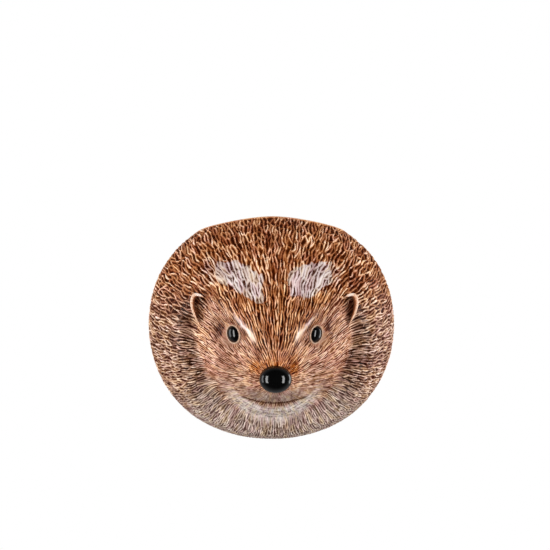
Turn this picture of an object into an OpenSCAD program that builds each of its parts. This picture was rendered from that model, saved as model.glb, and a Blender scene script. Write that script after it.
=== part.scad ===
// Hedgehog wall vase: a cast ceramic pocket shaped like a curled-up hedgehog.
// The flat back hangs on the wall plane y = 0 and the face looks along -Y.
// The origin is the centre of the hanging hole on that plane.

/* [Body] */
// Width of the round body at its widest level
body_w = 155; // [130:1:180]
// From the widest level down to the lowest point
belly_drop = 73; // [62:1:86]
// From the widest level up to the top of the full round, before the mouth is cut
crown_rise = 70; // [60:1:82]
// From the widest ring forward to the front of the round, without the face
belly_front = 54; // [46:1:62]
// From the wall forward to the widest ring
ring_out = 36; // [31:1:42]
// Half depth of the rear half of the round, before the flat back cuts it
back_reach = 75; // [66:1:88]
// How far the round is filled out between its top, sides and bottom
fill_out = 1.6; // [0:0.2:3]
// Thickness of the cast clay
clay_t = 5.5; // [5:0.5:7]
// How far the rolled collar round the face stands out of the round
collar_out = 3; // [1:0.5:4]
// Depth of the furrow between the face and the collar
furrow_d = 3; // [1:0.2:3.4]

/* [Crown] */
// How far the keel up the middle of the crown stands out
keel_out = 8; // [3:1:10]
// Half width of the keel's foot
keel_w = 44; // [36:1:52]
// Roundness of the keel's crest
keel_round = 5; // [3:0.5:9]
// Height of the keel's middle above the widest level
keel_rise = 30; // [25:1:35]
// Half height of the keel's swell
keel_h = 23; // [18:1:28]

/* [Spines] */
// Depth of the grooves between the rows of spines
spine_d = 1.7; // [0.8:0.1:2]

/* [Back wall] */
// Thickness of the flat back
back_t = 5; // [4:0.5:7]
// Diameter of the hanging hole
hang_d = 8; // [6:0.5:10]
// From the top of the flat back down to the hanging hole
hang_drop = 15; // [12:1:18]

/* [Mouth] */
// Width of the mouth where it meets the back wall
mouth_w = 105; // [90:1:114]
// From the wall forward to the front lip
mouth_d = 54; // [49:1:59]

/* [Face] */
// Height of the face's upper edge above the widest level
face_top = 19; // [14:1:24]
// Depth of the face's lower edge below the widest level
face_bottom = 59; // [55:1:63]
// From the middle to the face's edge beside the nose
cheek_x = 43; // [38:1:48]
// From the middle to the face's edge at the temples, in front of the ears
temple_x = 41.5; // [39:0.5:45]
// From the middle to the face's edge beside the chin
jaw_x = 26; // [22:1:30]
// Depth of the seat in the body that the face is set into
seat_d = 2.5; // [2:0.5:3]
// How far the muzzle stands forward of the round at the nose
muzzle_out = 18; // [14:1:22]
// Half width of the muzzle
muzzle_w = 16.5; // [14:0.5:19]
// How far the muzzle's bridge runs up from the nose
bridge_rise = 26; // [22:1:30]
// How far the muzzle runs down from the nose
muzzle_drop = 20; // [17:1:23]
// How far the forehead between the brows stands out
brow_out = 7.5; // [4:0.5:10]
// Half width of the forehead level with the brows' middle
brow_w = 21; // [18:1:24]
// Depth of the brows' middle below the widest level
brow_drop = 4; // [2:0.5:6]
// Half width of the bridge between the eyes
bridge_w = 10; // [8:0.5:12]
// Half height of the forehead's swell
brow_h = 19; // [15:1:23]
// Depth of the hollows between the eyes and the ears
temple_d = 3; // [1:0.5:4]
// How far the cheeks stand out
cheek_out = 4.5; // [2:0.5:6]
// Half width of the smile
smile_x = 20.5; // [16:0.5:24]
// From the nose's axis down to the middle of the smile
smile_drop = 15; // [14:0.5:17]
// How far the ends of the smile rise
smile_rise = 4.5; // [2:0.5:7]
// Depth of the smile's crease
smile_d = 1.8; // [0.6:0.2:2.4]
// How far the chin stands out
chin_out = 2; // [0:0.5:3]

/* [Nose and eyes] */
// Depth of the nose's axis below the widest level
nose_drop = 35; // [32:1:38]
// Width of the nose
nose_w = 20; // [16:0.5:22]
// Height and depth of the nose
nose_d = 17; // [14:0.5:18]
// Distance between the eyes' centres
eye_gap = 50; // [46:1:54]
// Depth of the eyes below the widest level
eye_drop = 7.5; // [4:0.5:11]
// Diameter of an eye bead
eye_d = 10; // [8:0.2:11]
// Thickness of an eye bead
eye_t = 5; // [4:0.2:6.6]
// Thickness of the eyelid's rim
lid_t = 1; // [0.9:0.1:1.6]
// How far the eyes are turned outwards, in degrees
eye_turn = 48; // [40:1:54]
// How far the eyes look up, in degrees
eye_lift = -10; // [-14:1:0]

/* [Ears] */
// Distance between the ears' middles
ear_gap = 92; // [88:1:96]
// Height of the ears' middles above the widest level
ear_up = 9.5; // [7:0.5:12]
// Width of the ear's root
ear_w = 9; // [8:0.5:11]
// Height of the ear's root
ear_h = 14; // [12:0.5:16]
// How far the ear's rim stands out of the head
ear_out = 8; // [6:0.5:10]
// How far the rim flares outwards from the root
ear_cup_out = 1.4; // [1:0.2:3]
// Thickness of the ear
ear_t = 1.6; // [1.5:0.1:2.4]

/* [Hidden] */

// Clearance between pieces that are set into each other
fit = 0.1;
// Overrun of a cut past the face that it opens
cut = 1;
// Points round the face, below and above the mouth's two corners
low_sectors = 66;
top_sectors = 42;
// Rings of the sculpted surfaces
face_rings = 20;
seat_rings = 5;
body_rings = 15;
inner_rings = 12;
lip_rings = 2;
// Rings that a spine runs over before the next row starts beside it
spine_rings = 2;
// Half size of the smooth ground round an ear, as a share of the ear's root
ear_ground_share = 0.75;
// Steps of the search for the mouth's edge, and where it starts, in degrees from the nose
search_steps = 24;
search_from = 60;
// How square the mouth is seen from above: 2 is an ellipse
mouth_square = 3;
// Share of the muzzle that is hollow behind the face
core_share = 0.55;
// Collar and furrow: place and spread in degrees from the face's edge
collar_at = 13;
collar_spread = 9;
furrow_spread = 5;
// The fold fades out towards the crown: sine of the angle round the nose where it starts and ends
fold_from = 0.1;
fold_to = 0.85;
// Places and spreads of the small forms, as shares of the sizes that they follow
cheek_place_share = [0.72, -0.41];
cheek_spread_share = [0.28, 0.3];
temple_place_share = [1.37, -0.53];
temple_spread_share = [0.94, 1.04];
brow_place_share = -0.15;
brow_round_share = 0.2;
brow_slope_share = 1;
bridge_round_share = 1.2;
chin_spread_share = [0.3, 0.12];
chin_place_share = 1.32;
smile_spread_share = 0.09;
smile_fade_share = 1.15;
// Squareness of the forehead's swell from top to bottom: 2 is a plain bell
brow_square = 2.6;
// One degree back along the skin, which gives the way that its edge runs
edge_step = 1;
// The ear: sections round its root, levels from the root to the rim, and where its ends are, in degrees
ear_steps = 22;
ear_level_shares = [0, 0.35, 0.7, 0.95];
ear_fade_share = 0.6;
ear_from = -85;
ear_to = 120;
// The ear's outline: squarer at its top, straighter towards its foot, and higher on the outer side
ear_top_share = 0.8;
ear_foot_share = 1.3;
ear_low_share = 1.45;
ear_slope_share = 0.3;
bead_steps = 20;
lid_steps = 32;

half_w = body_w / 2;
eye_x = eye_gap / 2;
ear_x = ear_gap / 2;

function unit(v) = v / norm(v);
function bell(q) = exp(-q * q);
function ease(q) = let (s = min(1, max(0, q))) s * s * (3 - 2 * s);

// The round body: a sphere stretched by a different reach on each side, and filled out between them.
function reach(u) = [half_w, u.y < 0 ? belly_front : back_reach, u.z > 0 ? crown_rise : belly_drop];
function filled(x, z) = 1 + fill_out / belly_drop * pow(2 * x * z, 2);
function ball(u) =
    let (r = reach(u), more = filled(u.x, u.z))
    [r.x * u.x * more, r.y * u.y - ring_out, r.z * u.z * more];
function ball_normal(u) = let (r = reach(u)) unit([u.x / r.x, u.y / r.y, u.z / r.z]);

// Directions are given round the nose: a is the angle from it, and p the angle about it from +X.
nose_tilt = asin(nose_drop / belly_drop);
nose_way = [0, -cos(nose_tilt), -sin(nose_tilt)];
face_up = [0, -sin(nose_tilt), cos(nose_tilt)];
function toward(a, p) = cos(a) * nose_way + sin(a) * (cos(p) * [1, 0, 0] + sin(p) * face_up);
function angle_from_nose(u) = acos(min(1, u * nose_way));
function angle_about_nose(u) = atan2(u * face_up, u.x);

// The face's edge: a smooth closed line through its top, temples, cheeks, jaws and bottom.
edge_top = nose_tilt + asin(face_top / crown_rise);
edge_bottom = asin(face_bottom / belly_drop) - nose_tilt;
edge_cheek = asin(cheek_x / half_w);
edge_temple = asin(temple_x / half_w / cos(45));
edge_jaw = asin(jaw_x / half_w / cos(45));
edge_even = (edge_temple + edge_jaw) / 2;
edge_ends = (edge_top + edge_bottom) / 2;
edge_4 = ((edge_cheek + edge_ends) / 2 - edge_even) / 2;
edge_0 = edge_even + edge_4;
edge_2 = (edge_cheek - edge_ends) / 2;
edge_sum = (edge_temple - edge_jaw) / 2 / sin(45);
edge_gap = (edge_top - edge_bottom) / 2;
edge_1 = (edge_sum + edge_gap) / 2;
edge_3 = (edge_sum - edge_gap) / 2;
function face_edge(p) =
    edge_0 + edge_1 * sin(p) + edge_2 * cos(2 * p) + edge_3 * sin(3 * p) + edge_4 * cos(4 * p);

// Where the flat back and the mouth end the round.
back_level = (ring_out - back_t) / back_reach;
function back_angle(p) =
    let (c = nose_way.y, s = face_up.y * sin(p), turn = atan2(s, c))
    (turn < 0 ? turn + 360 : turn) - acos(back_level / norm([c, s]));
function mouth_side(q) =
    pow(abs(q.x) * 2 / mouth_w, mouth_square) + pow(abs(q.y) / mouth_d, mouth_square) - 1;
function mouth_angle(p, low, high, steps) =
    let (mid = (low + high) / 2)
    steps == 0 ? mid
    : mouth_side(ball(toward(mid, p))) > 0 ? mouth_angle(p, mid, high, steps - 1)
    : mouth_angle(p, low, mid, steps - 1);
corner_x = mouth_w / 2 * pow(1 - pow(back_t / mouth_d, mouth_square), 1 / mouth_square) / half_w;
corner = [corner_x, back_level, sqrt(1 - corner_x * corner_x - back_level * back_level)];
corner_p = angle_about_nose(corner);
sectors = low_sectors + top_sectors;
about = concat(
    [for (j = [0:low_sectors - 1]) 180 - corner_p + j * (180 + 2 * corner_p) / low_sectors],
    [for (j = [0:top_sectors - 1]) 360 + corner_p + j * (180 - 2 * corner_p) / top_sectors]);
function at_mouth(j) = j > low_sectors;
ends = [for (j = [0:sectors - 1])
    at_mouth(j) ? mouth_angle(about[j], search_from, back_angle(about[j]), search_steps)
    : back_angle(about[j])];

// The forms that are raised on the round. q is the point of the round, a and p its angles.
function fold(a, p) =
    let (b = a - face_edge(p), share = 1 - ease((sin(p) - fold_from) / (fold_to - fold_from)))
    share * (collar_out * bell((b - collar_at) / collar_spread) - furrow_d * bell(b / furrow_spread));
function muzzle(q) =
    let (up = q.z + nose_drop)
    muzzle_out * bell(q.x / muzzle_w) * bell(up / (up > 0 ? bridge_rise : muzzle_drop));
// Half width of the forehead at a height: it narrows from the temples down to the bridge.
function brow_edge(z) =
    let (line = brow_w + brow_slope_share * (z + brow_drop), round = bridge_round_share * bridge_w)
    (line + bridge_w + norm([line - bridge_w, round])) / 2;
function brow(q) =
    brow_out / (1 + exp((abs(q.x) - brow_edge(q.z)) / (brow_round_share * brow_w)))
    * exp(-pow(abs(q.z / brow_h - brow_place_share), brow_square));
function spot(q, at, spread) = bell((abs(q.x) - at.x) / spread.x) * bell((q.z - at.y) / spread.y);
function temple(q) =
    let (at = [eye_x * temple_place_share.x, eye_drop * temple_place_share.y])
    temple_d * spot(q, at, eye_d * temple_spread_share);
function keel(q) =
    let (side = 1 - norm([q.x, keel_round]) / keel_w)
    keel_out * pow(max(0, side), 2) * bell((q.z - keel_rise) / keel_h);
function smile_line(q) = -nose_drop - smile_drop + smile_rise * pow(q.x / smile_x, 2);
function smile(q) =
    (1 - ease(abs(q.x) / (smile_fade_share * smile_x)))
    * bell((q.z - smile_line(q)) / (smile_spread_share * smile_x));
function features(q) =
    brow(q)
    + cheek_out * spot(q, [cheek_x * cheek_place_share.x, face_bottom * cheek_place_share.y],
        cheek_x * cheek_spread_share)
    + chin_out * spot(q, [0, -nose_drop - chin_place_share * smile_drop], face_bottom * chin_spread_share)
    - smile_d * smile(q);
forward = [0, -1, 0];
function outer(a, p) =
    let (u = toward(a, p), q = ball(u), front = q.y < -ring_out ? 1 : 0)
    q + (fold(a, p) + front * (features(q) + keel(q) - temple(q))) * ball_normal(u)
    + front * muzzle(q) * forward;
function core(a, p, depth) =
    let (u = toward(a, p), q = ball(u), front = q.y < -ring_out ? 1 : 0)
    q + (fold(a, p) + front * (keel(q) - temple(q)) - depth) * ball_normal(u)
    + front * core_share * muzzle(q) * forward;
// The sculpted surface above a place on the face, seen from the front.
function skin_at(x, z) =
    let (ux = x / half_w, uz = z / (z > 0 ? crown_rise : belly_drop),
        u = [ux, -sqrt(1 - ux * ux - uz * uz), uz])
    outer(angle_from_nose(u), angle_about_nose(u));

// A closed solid through rings with as many points each, with a point at either end.
// Each patch folds along its diagonal that stands farther out, so a crest isn't cut by a fold.
module loft(first, rings, last) {
    n = len(rings[0]);
    count = len(rings);
    end = count * n + 1;
    points = concat([first], [for (ring = rings) each ring], [last]);
    polyhedron(
        points = points,
        faces = concat(
            [for (j = [0:n - 1]) [0, 1 + (j + 1) % n, 1 + j]],
            [for (i = [0:count - 2], j = [0:n - 1], half = [0, 1])
                let (a = 1 + i * n + j, b = 1 + i * n + (j + 1) % n,
                    along = norm(points[a] + points[b + n]) > norm(points[b] + points[a + n]),
                    third = along ? b + n : a + n)
                half == 0 ? [a, b, third] : [along ? a : b, b + n, a + n]],
            [for (j = [0:n - 1]) [end - n + j, end - n + (j + 1) % n, end]]));
}

// Rings of a surface from share s0 to s1 of the way between two angles at each sector.
function edges() = [for (p = about) face_edge(p)];
function outer_ring(s, from, to) =
    [for (j = [0:sectors - 1]) outer(from[j] + s * (to[j] - from[j]), about[j])];
function core_ring(s, to, depth) = [for (j = [0:sectors - 1]) core(s * to[j], about[j], depth)];

// Rows of spines, like bricks: every second sector is a groove, and each row shifts by one sector.
// The grooves end at the face's edge and at the rim, and leave smooth ground round the ears.
function spine_share(q) =
    ease(norm([(abs(q.x) - ear_x) / ear_w, (q.z - ear_up) / ear_h]) - ear_ground_share);
function spine_point(i, j, from) =
    let (a = from[j] + i / body_rings * (ends[j] - from[j]), u = toward(a, about[j]),
        row = floor((i - 1) / spine_rings), groove = i > 0 && i < body_rings ? (row + j) % 2 : 0)
    outer(a, about[j]) - groove * spine_d * spine_share(ball(u)) * ball_normal(u);
function spine_ring(i, from) = [for (j = [0:sectors - 1]) spine_point(i, j, from)];

// The rounded lip of the mouth, from the outer skin over to the inner one. It is flat at the back wall.
function lip_point(j, s) =
    let (p = about[j], a = ends[j], out = outer(a, p), in = core(a, p, clay_t),
        along = unit(out - outer(a - edge_step, p)),
        swell = at_mouth(j) ? sin(180 * s) * clay_t / 2 : 0,
        run = at_mouth(j) ? 0 : s * (-back_t - in.y) / along.y,
        q = out + s * (in - out) + (swell + run) * along)
    [q.x, min(q.y, -back_t), q.z];
function lip_ring(s) = [for (j = [0:sectors - 1]) lip_point(j, s)];

module lift() translate([0, 0, hang_drop - crown_rise * back_share]) children();
// Width of the flat back's outline at the wall, and at its front, as shares of the round
back_share = sqrt(1 - pow(ring_out / back_reach, 2));
front_share = sqrt(1 - pow(back_level, 2));

// The hollow body, open at the mouth and at the back, with a shallow seat for the face.
module body_shell() color("sienna") lift() {
    face_ends = edges();
    loft(
        core(0, 0, seat_d),
        concat(
            [for (i = [1:seat_rings]) core_ring(i / seat_rings, face_ends, seat_d)],
            [for (i = [0:body_rings]) spine_ring(i, face_ends)],
            [for (i = [1:lip_rings]) lip_ring(i / (lip_rings + 1))],
            [lip_ring(1)],
            [for (i = [1:inner_rings - 1]) core_ring(1 - i / inner_rings, ends, clay_t)]),
        core(0, 0, clay_t));
}

function outline(share) = [for (j = [0:sectors - 1])
    let (t = 360 * j / sectors, more = filled(share * cos(t), share * sin(t)))
    share * more * [half_w * cos(t), (sin(t) > 0 ? crown_rise : belly_drop) * sin(t)]];

// The flat back that closes the body, with the hole that it hangs by.
module back_wall() color("wheat") difference() {
    lift() rotate([90, 0, 0]) hull() {
        linear_extrude(fit) polygon(outline(back_share));
        translate([0, 0, back_t - fit]) linear_extrude(fit) polygon(outline(front_share));
    }
    translate([0, cut, 0]) rotate([90, 0, 0]) cylinder(d = hang_d, h = back_t + 2 * cut, $fn = 48);
}

// An ellipsoid of revolution about Z.
module bead(radius, rise) rotate_extrude($fn = 64)
    polygon([for (i = [0:bead_steps]) let (t = 180 * i / bead_steps - 90) [radius * cos(t), rise * sin(t)]]);

module eye_place() {
    at = skin_at(eye_x, -eye_drop);
    lift() translate(at) rotate([0, 0, eye_turn]) rotate([90 - eye_lift, 0, 0]) children();
}
module nose_place() lift() translate(outer(0, 0)) rotate([0, 90, 0]) children();
module eyelid_ring(gap) rotate_extrude($fn = 64)
    translate([eye_d / 2 + fit + lid_t / 2, 0]) circle(d = lid_t + 2 * gap, $fn = lid_steps);

// The sculpted face, with pockets for the nose, the eyes and their lids.
module face() color("peru") difference() {
    lift() loft(
        outer(0, 0),
        concat(
            [for (i = [1:face_rings]) outer_ring(i / face_rings, [for (p = about) 0], edges())],
            [for (i = [0:seat_rings - 1]) core_ring(1 - i / seat_rings, edges(), seat_d)]),
        core(0, 0, seat_d));
    nose_place() bead(nose_d / 2 + fit, nose_w / 2 + fit);
    for (side = [0, 1]) mirror([side, 0, 0]) eye_place() {
        bead(eye_d / 2 + fit, eye_t / 2 + fit);
        eyelid_ring(fit);
        cylinder(d = eye_d + 2 * fit + lid_t, h = eye_t, $fn = 64);
    }
}

module nose() color("black") nose_place() bead(nose_d / 2, nose_w / 2);
module eye() color("black") eye_place() bead(eye_d / 2, eye_t / 2);
module eyelid() color("tan") eye_place() eyelid_ring(0);

// One section across the ear: up the back, over the rim and down the front, then along the root.
function ear_place(t, wide, flare) =
    let (turn = ear_from + t * (ear_to - ear_from), high = sin(turn) > 0,
        power = high ? ear_top_share : ear_foot_share, tall = high ? 1 : ear_low_share,
        x = (ear_w / 2 - wide + flare) * sign(cos(turn)) * pow(abs(cos(turn)), power),
        z = (tall * ear_h / 2 - wide + flare) * sign(sin(turn)) * pow(abs(sin(turn)), power))
    [ear_x + x, ear_up + z + ear_slope_share * x];
function ear_point(t, s, wide) =
    let (grow = pow(sin(180 * t), ear_fade_share), at = ear_place(t, wide, 0),
        rim = ear_place(t, wide, s * ear_cup_out * grow),
        root = skin_at(at.x, at.y))
    [rim.x, root.y - fit - s * ear_out * grow, rim.y];
function ear_section(t) =
    concat([for (s = ear_level_shares) ear_point(t, s, 0)],
        [ear_point(t, 1, ear_t / 2)],
        [for (i = [len(ear_level_shares) - 1 : -1 : 0]) ear_point(t, ear_level_shares[i], ear_t)]);
function middle(points) = [for (c = [1 : len(points)]) 1] * points / len(points);

module ear() color("burlywood") lift() {
    sections = [for (i = [1:ear_steps - 1]) ear_section(i / ear_steps)];
    loft(middle(ear_section(0.5 / ear_steps)), sections, middle(ear_section(1 - 0.5 / ear_steps)));
}

body_shell();
back_wall();
face();
mirror([1, 0, 0]) ear();  // ear_left
ear();  // ear_right
mirror([1, 0, 0]) eye();  // eye_left
eye();  // eye_right
mirror([1, 0, 0]) eyelid();  // eyelid_left
eyelid();  // eyelid_right
nose();
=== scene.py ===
import bpy
import numpy as np
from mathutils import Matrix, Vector


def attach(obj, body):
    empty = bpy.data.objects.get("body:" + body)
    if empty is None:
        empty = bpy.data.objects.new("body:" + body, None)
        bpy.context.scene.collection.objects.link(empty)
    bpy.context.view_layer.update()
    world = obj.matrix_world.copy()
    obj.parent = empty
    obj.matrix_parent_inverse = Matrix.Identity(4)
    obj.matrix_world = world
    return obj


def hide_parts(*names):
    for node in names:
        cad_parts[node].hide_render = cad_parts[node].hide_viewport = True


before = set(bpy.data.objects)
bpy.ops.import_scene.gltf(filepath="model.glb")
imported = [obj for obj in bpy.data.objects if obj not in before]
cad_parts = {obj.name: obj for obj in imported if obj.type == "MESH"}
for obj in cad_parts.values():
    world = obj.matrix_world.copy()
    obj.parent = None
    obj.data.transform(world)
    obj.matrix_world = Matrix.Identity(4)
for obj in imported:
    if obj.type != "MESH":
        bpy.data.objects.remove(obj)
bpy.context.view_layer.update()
print("frame read")

body = dict(
    width=155, drop=73, rise=70,  # across the widest level, and down and up from it to the full round's ends
    front=54, ringOut=36, rear=75,  # widest ring to the front, wall to that ring, half depth of the rear half
    fill=1.6, clay=5.5,  # filling between top, sides and bottom, and thickness of the clay
    collarOut=3, collarAt=13, collarSpread=9,  # rolled collar: height, angle beyond the face's edge, width
    furrow=3, furrowSpread=5,  # furrow inside the collar: depth and width
    foldFrom=0.1, foldTo=0.85,  # sines of the angles about the nose between which collar and furrow fade
    backThick=5, hangDrop=15, holeWidth=8,  # back wall, its top down to the hole, and the hole
    mouthWidth=105, mouthDepth=54, mouthSquare=3)  # mouth from above, 2 for an ellipse and more for squarer
halfWidth = body["width"] / 2
lift = body["hangDrop"] - body["rise"] * np.sqrt(1 - (body["ringOut"] / body["rear"]) ** 2)


def sind(x):
    return np.sin(np.radians(x))  # sine of degrees


def cosd(x):
    return np.cos(np.radians(x))  # cosine of degrees


def bell(q):
    # 1 in the middle, falling to both sides as exp(-q * q)
    return np.exp(-q * q)


def band(q, middle, spread):
    return bell((q - middle) / spread)  # the bell moved to its middle and stretched by its spread


def ease(q):
    # 0 below 0, 1 above 1, and s * s * (3 - 2 * s) between
    s = np.clip(q, 0, 1)
    return s * s * (3 - 2 * s)


def rising(q, start, length):
    # the ease curve stretched over that length
    return ease((q - start) / length)


def falling(q, start, length):
    return 1 - rising(q, start, length)  # 1 before the start, 0 after that length


def unit(v):
    # a vector over its length
    return v / np.maximum(np.linalg.norm(v, axis=-1, keepdims=True), 1e-12)


hashStart = np.uint64(2166136261)
hashSteps = np.array([16777619, 2246822519, 3266489917], np.uint64)  # odd factors that spread the bits
hashBits = np.uint64(0xffffffff)
hashRange = 2.0 ** 32


def chance(*whole):
    # whole numbers to an even spread in 0..1, the same for the same numbers, by products and shifts of bits
    h = np.full(np.shape(whole[0]), hashStart)
    for part in whole:
        h = (h ^ (np.asarray(part).astype(np.int64).astype(np.uint64) & hashBits)) * hashSteps[0]
        h = (h ^ (h >> np.uint64(15))) * hashSteps[1] & hashBits
    h = (h ^ (h >> np.uint64(13))) * hashSteps[2] & hashBits
    return (h ^ (h >> np.uint64(16))).astype(float) / hashRange


def cloud(p, size, seed):
    # smooth noise in -1..1: chance values on a lattice of that size, blended with the ease curve
    g = p / size
    cell = np.floor(g)
    share = ease(g - cell)
    cell = cell.astype(np.int64)
    total = 0
    for dx in (0, 1):
        for dy in (0, 1):
            for dz in (0, 1):
                weight = 1
                for axis, d in enumerate((dx, dy, dz)):
                    weight = weight * (share[..., axis] if d else 1 - share[..., axis])
                value = chance(cell[..., 0] + dx, cell[..., 1] + dy, cell[..., 2] + dz, np.int64(seed))
                total = total + weight * value
    return total * 2 - 1


def mottle(q, level, change, size, seed):
    # a level that changes by that much over patches of that size
    return level + change * cloud(q, size, seed)


head = dict(
    top=19, bottom=59, cheekX=43, templeX=41.5, jawX=26, noseDrop=35,  # the face's edge, and the nose
    muzzleOut=18, muzzleWidth=16.5, bridgeRise=26, muzzleDrop=20,  # length, half width, reach up and down
    coreShare=0.55,  # share of the muzzle that the inside follows
    browOut=7.5, browWidth=21, browDrop=4, bridgeWidth=10, browHeight=19, browPlace=-0.15,
    browRound=0.2, bridgeRound=1.2, browSquare=2.6,
    templeDepth=3, templeAt=(34.25, -3.98), templeSpread=(9.4, 10.4),
    cheekOut=4.5, cheekAt=(30.96, -24.19), cheekSpread=(12.04, 12.9),
    smileX=20.5, smileDrop=15, smileRise=4.5, smileDepth=1.8, smileSpread=1.85, smileFade=23.6,
    chinOut=2, chinAt=-54.8, chinSpread=(17.7, 7.08),
    keelOut=8, keelWidth=44, keelRound=5, keelUp=30, keelTall=23)  # ridge up the middle of the crown
noseTilt = np.degrees(np.arcsin(head["noseDrop"] / body["drop"]))
noseWay = np.array([0, -cosd(noseTilt), -sind(noseTilt)])
faceUp = np.array([0, -sind(noseTilt), cosd(noseTilt)])


def reach(u):
    # half axes of the round, another set on each side of its middle
    return np.stack([np.full(u.shape[:-1], halfWidth), np.where(u[..., 1] < 0, body["front"], body["rear"]),
                     np.where(u[..., 2] > 0, body["rise"], body["drop"])], -1)


def ball(u):
    # a sphere stretched by its reach, and filled out by 1 + fill * (2 * x * z)^2 / drop between its axes
    more = 1 + body["fill"] / body["drop"] * (2 * u[..., 0] * u[..., 2]) ** 2
    return reach(u) * u * np.stack([more, np.ones(more.shape), more], -1) - [0, body["ringOut"], 0]


def ballNormal(u):
    return unit(u / reach(u))  # straight out of the stretched sphere


def toward(a, p, way=noseWay, up=faceUp):
    # direction at the angle a from the way and p about it: cos a * way + sin a * (cos p * X + sin p * up)
    a, p = np.asarray(a)[..., None], np.asarray(p)[..., None]
    return cosd(a) * way + sind(a) * (cosd(p) * np.array([1, 0, 0]) + sind(p) * up)


def anglesOf(u):
    # the angle from the nose and the one about it, the way back from toward
    return np.degrees(np.arccos(np.clip(u @ noseWay, -1, 1))), np.degrees(np.arctan2(u @ faceUp, u[..., 0]))


def edgeTerms():
    # weights of 1, sin p, cos 2p, sin 3p and cos 4p, whose sum runs through the face's top, bottom, cheeks,
    # temples and jaws, each as an angle from the nose
    top = noseTilt + np.degrees(np.arcsin(head["top"] / body["rise"]))
    bottom = np.degrees(np.arcsin(head["bottom"] / body["drop"])) - noseTilt
    cheek = np.degrees(np.arcsin(head["cheekX"] / halfWidth))
    temple = np.degrees(np.arcsin(head["templeX"] / halfWidth / cosd(45)))
    jaw = np.degrees(np.arcsin(head["jawX"] / halfWidth / cosd(45)))
    even, ends = (temple + jaw) / 2, (top + bottom) / 2
    fourth = ((cheek + ends) / 2 - even) / 2
    lean, gap = (temple - jaw) / 2 / sind(45), (top - bottom) / 2
    return even + fourth, (lean + gap) / 2, (cheek - ends) / 2, (lean - gap) / 2, fourth


edge = edgeTerms()


def faceEdge(p):
    # the angle from the nose at which the face ends
    return edge[0] + edge[1] * sind(p) + edge[2] * cosd(2 * p) + edge[3] * sind(3 * p) + edge[4] * cosd(4 * p)


def fold(a, p):
    # the collar's bell less the furrow's, both fading towards the crown
    b = a - faceEdge(p)
    share = falling(sind(p), body["foldFrom"], body["foldTo"] - body["foldFrom"])
    collar = body["collarOut"] * band(b, body["collarAt"], body["collarSpread"])
    return share * (collar - body["furrow"] * bell(b / body["furrowSpread"]))


def spot(q, at, spread):
    # a soft hill on each side: a bell of the distances across and up from its middle
    return band(np.abs(q[..., 0]), at[0], spread[0]) * band(q[..., 2], at[1], spread[1])


def muzzle(q):
    # length * bell across * bell up, with another reach above and below the nose
    up = q[..., 2] + head["noseDrop"]
    run = np.where(up > 0, head["bridgeRise"], head["muzzleDrop"])
    return head["muzzleOut"] * bell(q[..., 0] / head["muzzleWidth"]) * bell(up / run)


def browEdge(z):
    # half width of the forehead: a line that narrows downwards, rounded into the bridge by a hyperbola
    line = head["browWidth"] + z + head["browDrop"]
    wide = head["bridgeWidth"]
    return (line + wide + np.hypot(line - wide, head["bridgeRound"] * wide)) / 2


def brow(q):
    # a step down outside the brow's edge, 1 / (1 + exp(across)), and exp(-down^square) above and below
    across = (np.abs(q[..., 0]) - browEdge(q[..., 2])) / (head["browRound"] * head["browWidth"])
    down = np.abs(q[..., 2] / head["browHeight"] - head["browPlace"])
    return head["browOut"] / (1 + np.exp(across)) * np.exp(-down ** head["browSquare"])


def keel(q):
    # out * (1 - hypot(x, round) / width)^2, fading up and down as a bell
    side = np.maximum(0, 1 - np.hypot(q[..., 0], head["keelRound"]) / head["keelWidth"])
    return head["keelOut"] * side ** 2 * band(q[..., 2], head["keelUp"], head["keelTall"])


def smileLine(x):
    # a parabola that rises to both sides
    return -head["noseDrop"] - head["smileDrop"] + head["smileRise"] * (x / head["smileX"]) ** 2


def smile(q):
    # a groove along the smile's line, fading to its corners
    fade = 1 - ease(np.abs(q[..., 0]) / head["smileFade"])
    return fade * band(q[..., 2], smileLine(q[..., 0]), head["smileSpread"])


def temple(q):
    # how deep the hollow beside the brow is
    return head["templeDepth"] * spot(q, head["templeAt"], head["templeSpread"])


def features(q):
    # all that stands out of the face's round or is let into it
    return (brow(q) + keel(q) + head["cheekOut"] * spot(q, head["cheekAt"], head["cheekSpread"])
            + head["chinOut"] * spot(q, (0, head["chinAt"]), head["chinSpread"])
            - head["smileDepth"] * smile(q) - temple(q))


def innerFeatures(q):
    return keel(q) - temple(q)  # the forms that the inside follows


def raised(a, p, forms, muzzleShare, depth):
    # the round + (fold + forms on its front - depth) along its normal + a share of the muzzle forwards
    u = toward(a, p)
    q = ball(u)
    front = q[..., 1] < -body["ringOut"]
    out = q + (fold(a, p) + front * forms(q) - depth)[..., None] * ballNormal(u)
    out[..., 1] -= front * muzzleShare * muzzle(q)
    return out


def skin(a, p):
    return raised(a, p, features, 1, 0)  # the outside, with the whole muzzle


def inside(a, p):
    # the inside, let in by the clay, with a share of the muzzle
    return raised(a, p, innerFeatures, head["coreShare"], body["clay"])


def skinAt(x, z):
    # the skin above a place on the face, seen from the front
    x, z = np.broadcast_arrays(np.asarray(x, float), np.asarray(z, float))
    ux, uz = x / halfWidth, z / np.where(z > 0, body["rise"], body["drop"])
    u = np.stack([ux, -np.sqrt(np.maximum(0, 1 - ux * ux - uz * uz)), uz], -1)
    return skin(*anglesOf(u))


eyes = dict(
    gap=50, drop=7.5, width=10, thick=5,  # apart, below the widest level, and size of a bead
    lid=1, fit=0.1,  # thickness of the lid's rim, and its clearance
    turn=48, look=-10,  # turned outwards and down
    # skin round the lid: how far under its plane, over what distance that fades, and what stands too high
    flatUnder=0.25, flatFade=2.2, flatReach=8)
eyeMiddle = skinAt(eyes["gap"] / 2, -eyes["drop"])


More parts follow.
